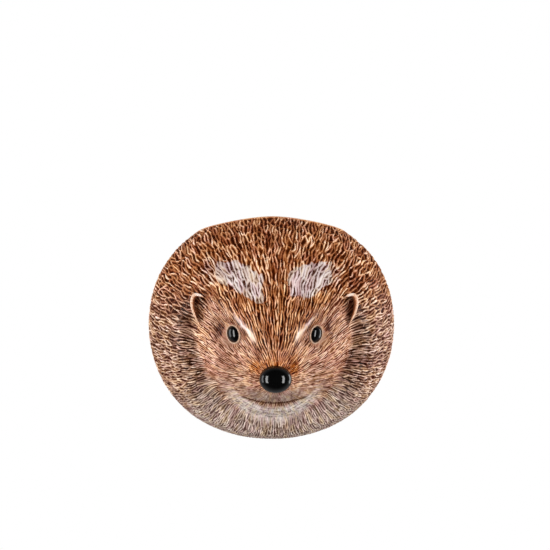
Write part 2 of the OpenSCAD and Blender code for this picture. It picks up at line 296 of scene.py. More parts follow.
def eyeSocket(q):
    # moves skin that stands above the lid's plane down onto it, easing out beyond the lid
    way = np.array([sind(eyes["turn"]) * cosd(eyes["look"]), -cosd(eyes["turn"]) * cosd(eyes["look"]),
                    sind(eyes["look"])])
    side = np.where(q[..., 0] < 0, -1.0, 1.0)
    mirror = np.stack([side, np.ones(side.shape), np.ones(side.shape)], -1)
    off = q * mirror - eyeMiddle
    up = off @ way
    away = np.linalg.norm(off - up[..., None] * way, axis=-1)
    near = falling(away, eyes["width"] / 2 + eyes["lid"], eyes["flatFade"])
    drop = np.maximum(0, up + eyes["flatUnder"]) * near * (up < eyes["flatReach"])
    return q - drop[..., None] * way * mirror


def backAngle(p, level):
    # angle from the nose at which the round meets the plane y = level * rear - ringOut
    c, s = noseWay[1], faceUp[1] * sind(p)
    turn = np.degrees(np.arctan2(s, c)) % 360
    return turn - np.degrees(np.arccos(level / np.hypot(c, s)))


def mouthAngle(p, low, high, halvings=26):
    # halves the gap until the round meets |2x / width|^n + |y / depth|^n = 1
    n = body["mouthSquare"]
    for step in range(halvings):
        mid = (low + high) / 2
        q = ball(toward(mid, p))
        side = np.abs(q[..., 0] * 2 / body["mouthWidth"]) ** n + np.abs(q[..., 1] / body["mouthDepth"]) ** n
        low, high = np.where(side > 1, mid, low), np.where(side > 1, high, mid)
    return (low + high) / 2


def faceLoops(ids, startPole, endPole, flip):
    # corners of the faces one after another, their counts, and each corner's place in the unit square:
    # a quad between neighbours, and triangles where the first or the last row is a pole
    v, u = np.meshgrid(np.linspace(0, 1, ids.shape[0]), np.linspace(0, 1, ids.shape[1]), indexing="ij")
    places = np.stack([u, v], -1)
    near, far = slice(None, -1), slice(1, None)
    corners = [(near, near), (near, far), (far, far), (far, near)]
    if not flip:
        corners = [corners[0]] + corners[:0:-1]
    quads = np.stack([ids[corner] for corner in corners], -1).reshape(-1, 4)
    quadUv = np.stack([places[corner] for corner in corners], -2).reshape(-1, 4, 2)
    fan = ids.shape[1] - 1
    middle = slice(fan if startPole else 0, len(quads) - (fan if endPole else 0))
    parts = [(quads[middle], quadUv[middle])]
    if startPole:
        use = [0, 2, 3] if flip else [0, 1, 2]
        parts.insert(0, (quads[:fan][:, use], quadUv[:fan][:, use]))
    if endPole:
        use = [0, 1, 2] if flip else [0, 1, 3]
        parts.append((quads[-fan:][:, use], quadUv[-fan:][:, use]))
    sizes = np.concatenate([np.full(len(faces), faces.shape[1]) for faces, uv in parts])
    loops = np.concatenate([faces.reshape(-1) for faces, uv in parts])
    return loops, sizes, np.concatenate([uv.reshape(-1, 2) for faces, uv in parts])


def addSheet(name, points, node, material, rows=None, cols=None, wrap=False, wrapRows=False,
             startPole=False, endPole=False, normals=None, values=None, flip=False):
    # one mesh from a grid of points, or from some rows and columns of it
    firstRow, lastRow = rows or (0, points.shape[0] - 1)
    firstCol, lastCol = cols or (0, points.shape[1] - 1)
    part = np.ix_(np.arange(firstRow, lastRow + 1), np.arange(firstCol, lastCol + 1) % points.shape[1])
    high, wide = points[part].shape[:2]
    ids = np.arange(high * wide).reshape(high, wide)
    if startPole:
        ids[0] = ids[0, 0]
    if endPole:
        ids[-1] = ids[-1, 0]
    keep = np.unique(ids)
    ids = np.searchsorted(keep, ids)
    if wrap:
        ids = np.concatenate([ids, ids[:, :1]], 1)
    if wrapRows:
        ids = np.concatenate([ids, ids[:1]], 0)
    flat = points[part].reshape(-1, 3)[keep] / 1000 + [0, 0, lift / 1000]
    loops, sizes, loopUv = faceLoops(ids, startPole, endPole, flip)
    mesh = bpy.data.meshes.new(name)
    mesh.vertices.add(len(flat))
    mesh.vertices.foreach_set("co", flat.reshape(-1))
    mesh.loops.add(len(loops))
    mesh.loops.foreach_set("vertex_index", loops.astype(np.int32))
    mesh.polygons.add(len(sizes))
    mesh.polygons.foreach_set("loop_start", np.concatenate([[0], np.cumsum(sizes)[:-1]]).astype(np.int32))
    mesh.polygons.foreach_set("loop_total", sizes.astype(np.int32))
    mesh.polygons.foreach_set("use_smooth", np.ones(len(sizes), bool))
    mesh.update(calc_edges=True)
    mesh.uv_layers.new(name="OFBake").data.foreach_set("uv", loopUv.reshape(-1))
    for key, value in (values or {}).items():
        value = value[part].reshape(high * wide, -1)[keep]
        kind, field = ("FLOAT_VECTOR", "vector") if value.shape[1] == 3 else ("FLOAT", "value")
        mesh.attributes.new(key, kind, "POINT").data.foreach_set(field, value.reshape(-1))
    if normals is not None:
        mesh.normals_split_custom_set_from_vertices(normals[part].reshape(-1, 3)[keep])
    mesh.materials.append(material)
    piece = bpy.data.objects.new(name, mesh)
    bpy.context.collection.objects.link(piece)
    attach(piece, "root")
    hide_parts(node)
    return piece


def gridNormals(points):
    # cross product of the steps from row to row and round the columns
    across = np.roll(points, -1, 1) - np.roll(points, 1, 1)
    return unit(np.cross(np.gradient(points, axis=0), across))


def addNode(tree, kind, entries=None, **settings):
    # a node with its settings, and in each entry a number or a colour, or a link to another node's output
    node = tree.nodes.new("ShaderNode" + kind)
    for key, value in settings.items():
        setattr(node, key, value)
    for place, value in (entries or {}).items():
        if isinstance(value, (int, float, tuple)):
            node.inputs[place].default_value = value
        else:
            tree.links.new(value, node.inputs[place])
    return node


def newMaterial(name):
    # an empty material and its node tree
    material = bpy.data.materials.new(name)
    material.use_nodes = True
    material.node_tree.nodes.clear()
    return material, material.node_tree


def addShader(tree, entries):
    # the one shader of a material, and its output
    shader = addNode(tree, "BsdfPrincipled", entries)
    addNode(tree, "OutputMaterial", {"Surface": shader.outputs[0]})


def tint(red, green, blue):
    # a colour picked on screen, 0..255, as the linear light that the shader takes
    c = np.array([red, green, blue]) / 255
    lin = np.where(c <= 0.04045, c / 12.92, ((c + 0.055) / 1.055) ** 2.4)
    return (*lin, 1)


def ramp(tree, source, stops):
    # colours between the stops, each a place in 0..1 with its red, green and blue
    node = addNode(tree, "ValToRGB", {"Fac": source})
    elements = node.color_ramp.elements
    while len(elements) < len(stops):
        elements.new(0.5)
    for element, (place, *colour) in zip(elements, stops):
        element.position = place
        element.color = tint(*colour)
    return node.outputs["Color"]


def reading(tree, name, output="Fac"):
    # what the mesh stores under that name
    return addNode(tree, "Attribute", attribute_name=name).outputs[output]


def blend(tree, weight, first, second, kind="MIX"):
    # from the first colour to the second by the weight, or to the first multiplied by the second
    entries = {0: weight, 6: first, 7: second}
    return addNode(tree, "Mix", entries, data_type="RGBA", blend_type=kind, clamp_factor=True).outputs[2]


def blendNumbers(tree, weight, first, second):
    # first * (1 - weight) + second * weight
    return addNode(tree, "Mix", {0: weight, 2: first, 3: second}).outputs[0]


def measured(tree, kind, *values):
    # the sum, the product or another measure of two or three values
    return addNode(tree, "Math", dict(enumerate(values)), operation=kind).outputs[0]


def noise(tree, size, detail=2.0, stretch=None):
    # noise on object coordinates with features of about that size, in millimetres
    place = addNode(tree, "TexCoord").outputs["Object"]
    if stretch:
        place = addNode(tree, "Mapping", {"Vector": place, "Scale": stretch}).outputs[0]
    return addNode(tree, "TexNoise", {"Vector": place, "Scale": 1000 / size, "Detail": detail}).outputs["Fac"]


def bump(tree, strength, size, stretch=None):
    # small bumps where the glaze has pulled
    height = noise(tree, size, 2.0, stretch)
    return addNode(tree, "Bump", {"Strength": strength, "Distance": 0.0004, "Height": height}).outputs[0]


# Each zone: the attribute with its weight, then the colours from a groove's bottom to a ridge's top, each a
# height with its red, green and blue.
# The first one lies under all the others, and each later one lies over those before it.
zones = [
    (None, [(0.02, 50, 14, 0), (0.24, 116, 60, 26), (0.48, 180, 122, 82), (0.7, 240, 200, 166),
            (0.92, 255, 242, 224)]),
    ("flank", [(0.02, 60, 26, 12), (0.24, 122, 84, 64), (0.48, 184, 150, 130), (0.7, 236, 210, 194),
               (0.92, 255, 240, 230)]),
    # collar: darker, painted shade in the furrow round the face
    ("collar", [(0.02, 34, 14, 4), (0.3, 104, 72, 54), (0.58, 186, 152, 134), (0.86, 250, 228, 214)]),
    ("belly", [(0.02, 92, 72, 64), (0.28, 156, 137, 128), (0.56, 204, 188, 179), (0.86, 246, 233, 224)]),
    ("cheek", [(0.02, 84, 40, 22), (0.22, 156, 106, 80), (0.48, 222, 176, 149), (0.8, 255, 230, 211)]),
    # snout: paler sides of the muzzle, painted light where they turn away from the lamps
    ("snout", [(0.02, 112, 72, 50), (0.24, 192, 150, 122), (0.5, 238, 206, 184), (0.84, 255, 242, 228)]),
    ("dusk", [(0.02, 84, 56, 46), (0.26, 146, 112, 96), (0.52, 196, 164, 147), (0.84, 240, 218, 205)]),
    ("forehead", [(0.02, 34, 6, 0), (0.26, 106, 54, 22), (0.52, 182, 122, 80), (0.82, 250, 208, 172)]),
    ("bridge", [(0.02, 60, 14, 0), (0.26, 132, 66, 16), (0.52, 192, 117, 53), (0.82, 244, 188, 132)]),
    # darker brown round and beside the eyes: painted shade of the eye sockets
    ("socketShade", [(0.02, 34, 8, 0), (0.28, 92, 44, 26), (0.76, 170, 114, 88)]),
    # lip: grey-beige upper lip, darkened too as painted shade under the nose
    ("lip", [(0.0, 74, 56, 50), (0.4, 124, 106, 98), (1.0, 194, 177, 168)]),
    ("chin", [(0.02, 84, 54, 38), (0.3, 134, 104, 86), (0.6, 178, 148, 130), (0.9, 226, 204, 190)]),
    ("jaw", [(0.0, 108, 98, 94), (0.4, 199, 190, 186), (1.0, 253, 247, 244)]),
    # pale lavender patches on the crown: a painted reflection of the lamps in the glaze
    ("paintedSheen", [(0.02, 70, 36, 24), (0.14, 158, 134, 128), (0.4, 204, 190, 190), (0.82, 240, 231, 233)]),
    # pale streak along the brow over each eye: a painted highlight
    ("streak", [(0.0, 212, 188, 180), (0.5, 246, 230, 224), (1.0, 255, 250, 248)]),
    ("mouth", [(0.0, 50, 28, 20), (1.0, 70, 46, 36)]),
    # hollow: darker skin where each ear stands, painted shade of the ear's cup
    ("hollow", [(0.0, 70, 30, 12), (0.5, 130, 80, 52), (1.0, 190, 144, 116)]),
]
clay = dict(
    grain=1.1, grainShare=0.34,  # fine noise, and how much it scatters the height that the colours go by
    hueShare=0.75, hues=[(0.1, 255, 232, 236), (0.5, 255, 255, 255), (0.9, 255, 238, 206)],  # of strokes
    drift=13, driftShare=0.8,  # patches in which the glaze came out darker or lighter
    drifts=[(0.3, 208, 188, 184), (0.48, 248, 244, 240), (0.7, 255, 252, 242)],
    roughness=0.55, coatRoughness=0.18, coatIor=1.7,
    coatLeast=0.06, coatRidge=0.3, coatGloss=0.85,  # clear glaze: everywhere, on ridges, where gloss is
    levelLeast=0.3, levelGloss=0.55)  # how far it fills the grooves: everywhere, and where gloss is stored


def clayGlaze(name):
    # colour by how high the carving stands, zone over zone, under a clear glaze that half fills the grooves
    material, tree = newMaterial(name)
    carve, gloss = reading(tree, "carve"), reading(tree, "gloss")
    height = measured(tree, "MULTIPLY_ADD", noise(tree, clay["grain"], 3.0), clay["grainShare"], carve)
    height = measured(tree, "SUBTRACT", height, clay["grainShare"] / 2)
    colour = None
    for weight, stops in zones:
        layer = ramp(tree, height, stops)
        colour = layer if colour is None else blend(tree, reading(tree, weight), colour, layer)
    hue = ramp(tree, reading(tree, "hue"), clay["hues"])
    colour = blend(tree, clay["hueShare"], colour, hue, "MULTIPLY")
    drift = ramp(tree, noise(tree, clay["drift"]), clay["drifts"])
    shine = measured(tree, "MULTIPLY_ADD", carve, clay["coatRidge"], clay["coatLeast"])
    level = measured(tree, "MULTIPLY_ADD", gloss, clay["levelGloss"], clay["levelLeast"])
    carved = addNode(tree, "NewGeometry").outputs["Normal"]
    calm = reading(tree, "calm", "Vector")
    filled = addNode(tree, "Mix", {0: level, 4: carved, 5: calm}, data_type="VECTOR")
    addShader(tree, {
        "Base Color": blend(tree, clay["driftShare"], colour, drift, "MULTIPLY"),
        "Roughness": clay["roughness"],
        "Specular IOR Level": 0.0,
        "Coat Weight": measured(tree, "MULTIPLY_ADD", gloss, clay["coatGloss"], shine),
        "Coat Roughness": clay["coatRoughness"],
        "Coat IOR": clay["coatIor"],
        "Coat Normal": addNode(tree, "VectorMath", {0: filled.outputs[1]}, operation="NORMALIZE").outputs[0]})
    return material


def plainGlaze(name, colours, roughness, coat, patch=9, blotch=None):
    # a smooth glaze whose tone drifts over patches, and another colour where an attribute is stored
    material, tree = newMaterial(name)
    tone = ramp(tree, noise(tree, patch, 3.0), colours)
    if blotch:
        tone = blend(tree, reading(tree, blotch[0]), tone, tint(*blotch[1]))
    addShader(tree, {"Base Color": tone, "Roughness": roughness, "Coat Weight": coat, "Coat Roughness": 0.06,
                     "Normal": bump(tree, 0.12, 2.4)})
    return material


spineGlaze = clayGlaze("spineGlaze")
faceGlaze = clayGlaze("faceGlaze")
creamGlaze = plainGlaze("creamGlaze", [(0.3, 214, 202, 184), (0.7, 232, 223, 208)], 0.35, 0.6)
liningGlaze = plainGlaze("liningGlaze", [(0.3, 206, 190, 170), (0.7, 228, 216, 198)], 0.3, 0.8,
                         blotch=("rim", (104, 52, 36)))
blackGlaze = plainGlaze("blackGlaze", [(0.3, 3, 3, 3), (0.7, 6, 6, 6)], 0.1, 0.0)
lidGlaze = plainGlaze("lidGlaze", [(0.3, 152, 112, 88), (0.7, 212, 176, 148)], 0.4, 0.4, 3)
print("glazes made")

skinGrid = dict(
    lowColumns=828, topColumns=452,  # columns that end on the back wall, and in the mouth's rim
    mouthFrom=60.0,  # degrees from the nose, always in front of the mouth's edge
    faceRows=120, bodyRows=250,  # rings from the nose to the face's edge, and on to the wall or the rim
    lipRows=10, insideRows=40)  # rings over the rim, and down the inside
frontLevel = (body["ringOut"] - body["backThick"]) / body["rear"]  # the back wall's front, as a share of rear


def cornerAngle():
    # angle about the nose at which the mouth's edge meets the back wall
    n = body["mouthSquare"]
    x = body["mouthWidth"] / 2 * (1 - (body["backThick"] / body["mouthDepth"]) ** n) ** (1 / n) / halfWidth
    return anglesOf(np.array([x, frontLevel, np.sqrt(1 - x * x - frontLevel * frontLevel)]))[1]


corner = cornerAngle()
about = np.concatenate([
    180 - corner + np.arange(skinGrid["lowColumns"]) * (180 + 2 * corner) / skinGrid["lowColumns"],
    360 + corner + np.arange(skinGrid["topColumns"]) * (180 - 2 * corner) / skinGrid["topColumns"]])
frontEnd = backAngle(about, frontLevel)
mouthEnd = mouthAngle(about, np.full(len(about), skinGrid["mouthFrom"]), frontEnd)
atMouth = (np.arange(len(about)) > skinGrid["lowColumns"]) & (mouthEnd < frontEnd - 0.01)
ends = np.where(atMouth, mouthEnd, frontEnd)
edges = faceEdge(about)

outlines = dict(
    flankBend=(40, 0.35), bellyBend=(20, 0.42),  # x from which flank and belly slant, and their slope
    roundUp=15, roundWide=1.03, roundSize=34,  # round about the muzzle: above the nose, stretch, radius
    restX=(26.5, 8.2), restUp=(-8, 8.6), ringX=(26, 8), ringUp=(-7, 9.5),  # ovals round the eye
    streakX=23.3, streakUp=2.9, streakSlope=1.13, streakFray=(0, 1.1, 1.7, 35),  # painted highlight over the eye
    streakWide=1.45, streakBulge=1.1, streakBulgeX=(13.5, 3.5),
    lowLeft=12.5, bendLeft=(12, 0.62), lowRight=14, bendRight=(21, 0.72),  # lower edge of the painted reflection
    high=37, bendHigh=(-22.5, 0.62), inner=8, outer=35.5,  # their upper and side edges
    frayWide=(0, 1.2, 6, 31), frayFine=(0, 0.7, 2.2, 32),
    tornShare=0.45, tornSoft=0.22, faintRidge=(0.2, 0.4),  # whole strokes at the edge, and ridges if faint
    folds=(-1.4, 0.3, 2.1, 3.6, 5.4), foldWide=0.36,  # creases under the smile, beyond that round
    foldSway=(0, 0.5, 9, 41), foldDepth=(0.6, 0.4, 5, 42))


def less(q, share):
    return 1 - share * q  # 1, and that share less where the mask is 1


def slope(q, start, length):
    # straight from 0 at the start to 1
    return np.clip((q - start) / length, 0, 1)


def outside(q, start, soft):
    # 1 / (1 + exp(way past the start / soft)): 1 far below the start and 0 far beyond it
    return 1 / (1 + np.exp((q - start) / soft))


# Each zone's mask: a share and its factors, multiplied. A factor is a measure or an earlier zone, the shape
# over it and the shape's numbers. Measures: x and z from the middle, right as x with its sign, front as 1 on
# the front half, edge in degrees beyond the face's, turn as the sine of the way round the nose, brow outside
# the brow's edge, line over the smile's, round beyond the muzzle's, flankUp and bellyUp as z along the
# slants, rest and ring round the eye, stripe and patch across the painted highlight of the brow and the
# patches of painted reflection on the crown.
zoneShapes = dict(
    face=(1, ("edge", falling, -2, 5)),
    flank=(1, ("flankUp", falling, -20, 46)),
    belly=(1, ("bellyUp", falling, -48, 30)),
    # the collar's darker colours are painted shade in the furrow round the face
    collar=(1.25, ("face", less, 1), ("turn", falling, 0.25, 0.5), ("edge", band, 5, 8.5)),
    cheek=(1, ("face",)),
    side=(1, ("x", rising, 24, 10)),
    forehead=(1, ("face",), ("brow", outside, -3, 2), ("z", rising, -26, 14)),
    bridge=(1, ("face",), ("x", band, 0, 17), ("z", band, -27, 11), ("forehead", less, 0.75)),
    seam=(0.7, ("line", band, -1.8, 1.5), ("x", falling, 12, 8)),
    amber=(1, ("face",), ("x", band, 12.5, 4), ("z", band, -27.5, 5), ("q", mottle, 0.5, 0.5, 4, 34)),
    # the sides of the muzzle, paler as painted light where they turn away from the lamps
    snout=(1, ("x", band, 18, 9), ("z", band, -34, 10), ("q", mottle, 0.9, 0.4, 2.2, 38)),
    dusk=(0.8, ("face",), ("z", falling, -44, 14), ("x", rising, 14, 10)),
    # the upper lip, its colours darkened as painted shade under the nose
    lip=(0.9, ("face",), ("line", rising, 0, 0.8), ("line", falling, 4, 7), ("x", falling, 12, 14)),
    chin=(1, ("face",), ("line", falling, -0.8, 0.8), ("x", falling, 16, 8)),
    mouth=(1, ("face",), ("line", band, -0.1, 0.5), ("x", falling, 17, 6)),
    jaw=(1, ("round", rising, -3, 2.5), ("round", falling, 5, 5), ("x", falling, 16, 20),
         ("z", falling, -38, 8)),
    eye=(1, ("face",), ("rest", falling, 0.55, 0.35)),
    # a ring round each eye and a patch beside it: painted shade of the eye sockets
    dark=(0.45, ("ring", falling, 0.8, 0.5)),
    besideEyeShade=(1, ("x", band, 34, 4.5), ("z", band, -5, 7), ("q", mottle, 0.95, 0.5, 2.4, 37)),
    # the painted highlight along the brow's edge over each eye
    streak=(1, ("face",), ("stripe", band, 0, 1), ("x", rising, 10.5, 3), ("x", falling, 19, 7),
            ("q", mottle, 1.05, 0.3, 2.6, 36)),
    # the patches of painted reflection on the crown, and fainter painted reflection beside them
    paintedSheen=(1, ("front",), ("patch", slope, -2.5, 5)),
    faintLeft=(0.6, ("front",), ("right", band, -39, 5), ("z", band, 32, 8)),
    faintRight=(0.6, ("front",), ("right", band, 38, 3.5), ("z", band, 30, 5)))


def beyond(q, bend):
    # 0 up to a place, and from there a straight rise with that slope
    return bend[1] * np.maximum(q - bend[0], 0)


def oval(x, z, across, up):
    # 1 on an oval with that middle and those half axes
    return np.hypot((x - across[0]) / across[1], (z - up[0]) / up[1])


def fromSmile(q):
    # millimetres beyond a round about the muzzle that passes under the lower lip
    t = outlines
    return np.hypot(q[..., 0] / t["roundWide"], q[..., 2] + head["noseDrop"] - t["roundUp"]) - t["roundSize"]


def streakPlace(q, x, z):
    # distance from a slanted line, as a share of the half width there of the painted highlight's streak
    t = outlines
    away = z - t["streakUp"] - t["streakSlope"] * (x - t["streakX"]) + mottle(q, *t["streakFray"])
    return away / (t["streakWide"] + t["streakBulge"] * band(x, *t["streakBulgeX"]))


def patchPlace(q, x, z):
    # distance inside the nearest of the four edges of a pale patch of painted reflection, frayed
    t = outlines
    low = np.where(q[..., 0] < 0, t["lowLeft"] + beyond(x, t["bendLeft"]),
                   t["lowRight"] + beyond(x, t["bendRight"]))
    high = t["high"] - beyond(-x, t["bendHigh"])
    within = np.minimum(np.minimum(high - z, z - low), np.minimum(x - t["inner"], t["outer"] - x))
    return within + mottle(q, *t["frayWide"]) + mottle(q, *t["frayFine"])


def zoneWeights(a, p, q):
    # soft masks over the vase, each 0 outside its zone and 1 inside it
    x, z, t = np.abs(q[..., 0]), q[..., 2], outlines
    w = dict(q=q, x=x, z=z, right=q[..., 0], front=q[..., 1] < -body["ringOut"], edge=a - faceEdge(p),
             turn=sind(p), brow=x - browEdge(z), line=z - smileLine(x), round=fromSmile(q),
             rest=oval(x, z, t["restX"], t["restUp"]), ring=oval(x, z, t["ringX"], t["ringUp"]),
             flankUp=z - beyond(x, t["flankBend"]), bellyUp=z + beyond(x, t["bellyBend"]),
             stripe=streakPlace(q, x, z), patch=patchPlace(q, x, z))
    for name, (share, *factors) in zoneShapes.items():
        w[name] = share
        for key, *shape in factors:
            w[name] = w[name] * (shape[0](w[key], *shape[1:]) if shape else w[key])
    w["collar"] = np.clip(w["collar"], 0, 1)
    w["snout"] = w["face"] * np.clip(w["snout"], 0, 1)
    w["bridge"] = np.clip(np.maximum(w["bridge"], w["seam"]) + w["amber"], 0, 1)
    # painted shade of the eye sockets: the patch beside the eye or the ring round it, whichever is larger
    w["socketShade"] = w["face"] * np.maximum(np.clip(w["besideEyeShade"], 0, 1), w["dark"])
    w["faint"] = w["faintLeft"] + w["faintRight"]
    return w


def creases(q):
    # fine folds that run round the muzzle under the smile: a bell for each
    t = outlines
    out = fromSmile(q) + mottle(q, *t["foldSway"])
    return sum(band(out, place, t["foldWide"]) for place in t["folds"]) * mottle(q, *t["foldDepth"])


strokes = dict(
    # sizes: at the foot of the flanks, then more of it on the crown, and on belly and collar
    spineWide=(1.85, 0.2, -0.5), spineLong=(6.2, 2.2, -0.2), spineDeep=(0.8, 0.15, -0.35),
    # sizes: on the cheeks, then more of it on the forehead, on the sides and on the snout
    furWide=(1.2, 0.45, 0, 0), furLong=(5.4, 3.4, 2.4, -2), furDeep=(0.32, 0.2, 0, 0),
    crownUp=(-22, 50), collarLow=0.8, patchLess=0.55,  # up to the crown, on the collar, under painted reflection
    poleRise=17, poleSpan=46, poleSteps=12,  # the strokes' pole climbs from the nose by this over that far
    reach=156, stepOut=1.0, stepRound=1.5,  # the table of strokes: degrees from the pole, and its steps
    fewest=6, seed=3,  # strokes in the smallest ring, and the number that all draws start from
    jitter=0.47,  # share of a stroke's size by which its middle may lie off
    swayAlong=(0, 0.16, 7), swayAlongFine=(0, 0.05, 2.5),  # how far rows sway, in strokes, and over what size
    swayAcross=(0, 0.42, 5.5), swayLoose=(0, 0.16, 2.2),
    ridge=0.34, ridgeSpots=(1, 0.3, 3.2, 12),  # half width of a ridge, as a share of its stroke's width
    crossing=0.24, weakest=0.45, powerSpots=(0.88, 0.24, 2.6))  # strength of ridges across, and of the others


def mixed(sizes, *shares):
    # the first size and each share of the ones after it
    return sizes[0] + sum(size * share for size, share in zip(sizes[1:], shares))


def strokeSizes(w, z):
    # width and length of a stroke and the depth of its groove, the spines' giving way to the fur's
    high = rising(z, *strokes["crownUp"])
    low = np.clip(w["belly"] + strokes["collarLow"] * w["collar"], 0, 1)
    side = w["side"] * (1 - w["forehead"])
    sizes = []
    for kind in ("Wide", "Long", "Deep"):
        spine = mixed(strokes["spine" + kind], high, low)
        fur = mixed(strokes["fur" + kind], w["forehead"], side, w["snout"])
        sizes.append(spine + w["face"] * (fur - spine))
    return sizes[0], sizes[1], sizes[2] * (1 - strokes["patchLess"] * w["paintedSheen"])


def strokePole(a):
    # the pole that strokes this far from it lie about, and its upward direction: both turned up by the climb
    climb = strokes["poleRise"] * ease(a / strokes["poleSpan"])[..., None]
    return cosd(climb) * noseWay + sind(climb) * faceUp, cosd(climb) * faceUp - sind(climb) * noseWay


def strokeAngles(u):
    # angles about that pole, found by going round until pole and distance agree
    a = anglesOf(u)[0]
    for step in range(strokes["poleSteps"]):
        way, up = strokePole(a)
        a = np.degrees(np.arccos(np.clip(np.sum(u * way, -1), -1, 1)))
    return a, np.degrees(np.arctan2(np.sum(u * up, -1), u[..., 0])) % 360


def strokeTable():
    # counts strokes along the skin: rows = sum of step / length outwards, and for each row the columns
    # = sum of step / width round the pole, scaled so that a whole number closes the ring
    a, s = np.meshgrid(np.arange(0, strokes["reach"], strokes["stepOut"]),
                       np.arange(0, 360, strokes["stepRound"]), indexing="ij")
    a, p = anglesOf(toward(a, s, *strokePole(a)))
    q = ball(toward(a, p))
    surface = skin(a, p)
    wide, long, deep = strokeSizes(zoneWeights(a, p, q), q[..., 2])
    along = np.linalg.norm(np.gradient(surface, axis=0), axis=-1)
    around = np.linalg.norm(np.roll(surface, -1, 1) - np.roll(surface, 1, 1), axis=-1) / 2
    rows = np.cumsum(along / long, axis=0)
    rows = rows - rows[0]
    counts, columns = [], []
    for row in range(int(rows.max()) + 1):
        level = np.argmin(np.abs(rows - row - 0.5), axis=0)
        run = np.concatenate([[0], np.cumsum((around / wide)[level, np.arange(s.shape[1])])])
        counts.append(max(strokes["fewest"], round(run[-1])))
        columns.append(run * counts[-1] / run[-1])
    return rows, np.array(counts), np.array(columns), wide, long


def lookUp(table, a, s):
    # blends the four entries of a table round a place, closed round the pole
    a, s = a / strokes["stepOut"], s / strokes["stepRound"]
    i = np.clip(np.floor(a).astype(int), 0, table.shape[0] - 2)
    j = np.floor(s).astype(int) % table.shape[1]
    k = (j + 1) % table.shape[1]
    f, g = a - i, s - np.floor(s)
    return ((1 - f) * ((1 - g) * table[i, j] + g * table[i, k])
            + f * ((1 - g) * table[i + 1, j] + g * table[i + 1, k]))


def carveStrokes(q, u, combed):
    # stretched cells round jittered middles: a ridge runs where the two nearest middles are as far, and its
    # distance is half the difference of the squares over the length of their difference in millimetres
    seed, jitter = strokes["seed"], 2 * strokes["jitter"]
    rows, counts, columns, wides, longs = strokeTable()
    a, s = strokeAngles(u)
    wide, long = lookUp(wides, a, s), lookUp(longs, a, s)
    y = (lookUp(rows, a, s) + mottle(q, *strokes["swayAlong"], seed)
         + mottle(q, *strokes["swayAlongFine"], seed + 1))
    sway = (mottle(q, *strokes["swayAcross"], seed + 2)
            + (1 - combed) * mottle(q, *strokes["swayLoose"], seed + 3))
    nearest = [np.full(a.shape, 9.0), np.full(a.shape, 9.0)]  # squares, at first beyond any middle's
    across, along, ticket = ([np.zeros(a.shape), np.zeros(a.shape)] for store in range(3))
    middle = np.floor(y).astype(int)
    part = s / strokes["stepRound"]
    left = np.floor(part).astype(int)
    share = part - left
    for rowStep in (-1, 0, 1):
        row = np.clip(middle + rowStep, 0, len(counts) - 1)
        x = columns[row, left] * (1 - share) + columns[row, left + 1] * share + sway
        column = np.floor(x).astype(int)
        for columnStep in (-1, 0, 1):
            cell = (column + columnStep) % counts[row]
            offX = (chance(cell, row, np.int64(seed + 7)) - 0.5) * jitter
            offY = (chance(cell, row, np.int64(seed + 8)) - 0.5) * jitter
            toX, toY = column + columnStep + 0.5 + offX - x, middle + rowStep + 0.5 + offY - y
            square = toX * toX + toY * toY
            first, second = square < nearest[0], (square >= nearest[0]) & (square < nearest[1])
            drawn = chance(cell, row, np.int64(seed + 9))
            for store, value in ((nearest, square), (across, toX), (along, toY), (ticket, drawn)):
                store[1] = np.where(first, store[0], np.where(second, value, store[1]))
                store[0] = np.where(first, value, store[0])
    slopeX, slopeY = (across[0] - across[1]) / wide, (along[0] - along[1]) / long
    steep = np.maximum(np.hypot(slopeX, slopeY), 1e-6)
    off = (nearest[1] - nearest[0]) / 2 / steep
    crossing = strokes["crossing"] * (1 - combed)
    power = crossing + (1 - crossing) * (np.abs(slopeX) / steep) ** 2
    weakest = strokes["weakest"]
    power = power * (weakest + (1 - weakest) * chance((ticket[0] + ticket[1]) * 1e6))
    return off, wide, power * mottle(q, *strokes["powerSpots"], seed + 5), ticket[0]


relief = dict(
    settle=0.1, plainHeight=0.8, plainTone=0.62,  # all skin sunk, and height and tone where it isn't carved
    plainEye=0.85, plainLip=0.7, plainJaw=0.6, plainStreak=0.6,  # how much less these zones are carved
    noseEdge=(5, 3), rimEdge=(0.3, 1.6),  # degrees from the nose's tip and from the rim where carving begins
    swell=0.25, swellSpots=(0.5, 0.5, 6, 21),  # soft dents on top of it
    hueTone=0.12, creaseTone=0.4, speckle=(0, 0.3, 1.3, 51), speckleSnout=0.8, streakGloss=0.5)

print("carved skin: placing rings")
a = np.concatenate([
    np.linspace(0, 1, skinGrid["faceRows"] + 1)[:, None] * edges,
    edges + np.linspace(0, 1, skinGrid["bodyRows"] + 1)[1:, None] * (ends - edges)])
p = np.broadcast_to(about, a.shape)
bare = ball(toward(a, p))
plain = eyeSocket(skin(a, p))
calm = gridNormals(plain)
calm[0] = noseWay
weights = zoneWeights(a, p, bare)
deep = strokeSizes(weights, bare[..., 2])[2]
combed = np.clip(weights["collar"] + weights["belly"], 0, 1)
off, wide, power, tagged = carveStrokes(bare, toward(a, p), combed)
ridge = power * bell(off / (strokes["ridge"] * wide * mottle(bare, *strokes["ridgeSpots"])))
print("carved skin: strokes done")

